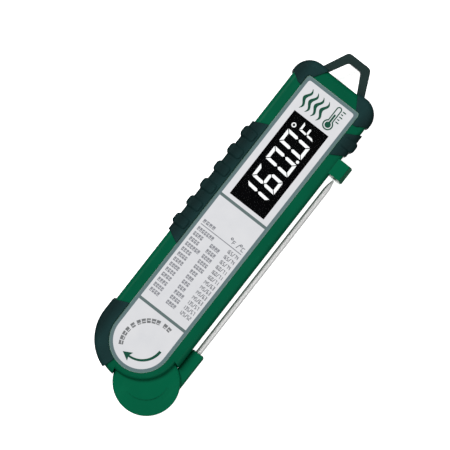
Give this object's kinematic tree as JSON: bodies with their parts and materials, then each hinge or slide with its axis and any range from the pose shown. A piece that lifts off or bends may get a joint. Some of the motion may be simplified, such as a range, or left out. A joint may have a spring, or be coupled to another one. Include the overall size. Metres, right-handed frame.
{
  "type": "folding probe thermometer",
  "caption": "Pocket digital thermometer with a steel probe that folds out from the side, a long display face, rubber grips and a hanging loop.",
  "frame": {"origin": "on the flat back, at the middle of the case's length and width", "axes": "+Z out of the display face, +Y along the case towards the hanging loop, +X towards the side where the folded probe lies"},
  "size_m": [0.0594, 0.2178, 0.0224],
  "materials": {
    "green_case": "moulded dark green plastic with a soft satin gloss",
    "dark_rubber": "matt soft rubber, nearly black with a green-blue cast",
    "seal_rubber": "matt black sealing rubber",
    "face_label": "printed film, satin",
    "clear_window": "clear moulded window",
    "display_glass": "black display with light segments",
    "black_plastic": "moulded black plastic",
    "white_plastic": "moulded white plastic",
    "strip_rubber": "layered conductive silicone",
    "board": "green solder mask",
    "steel": "stainless steel",
    "plated_contact": "plated brass",
    "wire": "insulated wire",
    "tube_glass": "thin glass tube"
  },
  "bodies": {
    "case": {"front_shell": "green_case", "rear_shell": "green_case", "case_seal": "seal_rubber", "label_overlay": "face_label", "display_window": "clear_window", "lcd_glass": "display_glass", "lcd_holder": "black_plastic", "backlight_panel": "white_plastic", "zebra_strips": "strip_rubber", "circuit_board": "board", "processor_cover": "black_plastic", "board_components": "black_plastic", "reed_switch": "tube_glass", "board_screws": "steel", "case_screws": "steel", "tip_guard": "green_case", "top_left_guard": "dark_rubber", "top_right_guard": "dark_rubber", "bottom_guard": "dark_rubber", "left_grip": "dark_rubber", "right_grip": "dark_rubber", "hanging_loop": "dark_rubber", "coin_cell_upper": "steel", "coin_cell_lower": "steel", "negative_contacts": "plated_contact", "positive_contacts": "plated_contact", "unit_switch_housing": "black_plastic", "sensor_lead": "wire", "hub_seal": "seal_rubber", "friction_washer": "steel", "pivot_cap": "green_case", "door_inserts": "plated_contact"},
    "probe": {"probe_arm": "green_case", "hub_cap": "green_case", "probe_tube": "steel", "thermocouple_wires": "wire", "arm_magnet": "steel", "retaining_ring": "steel"},
    "door": {"battery_door": "green_case", "door_seal": "seal_rubber", "door_screws": "steel"},
    "unit_slider": {"unit_switch_knob": "white_plastic"}
  },
  "joints": [
    {"name": "probe_fold", "type": "hinge", "parent": "case", "child": "probe", "pos_m": [0.0153, -0.0887, 0.012], "axis": [0, 0, -1], "range_deg": [0, 180]},
    {"name": "battery_door_lift", "type": "slide", "parent": "case", "child": "door", "axis": [0, 0, -1], "range_m": [0, 0.012]},
    {"name": "unit_switch", "type": "slide", "parent": "case", "child": "unit_slider", "axis": [1, 0, 0], "range_m": [0, 0.002]}
  ]
}
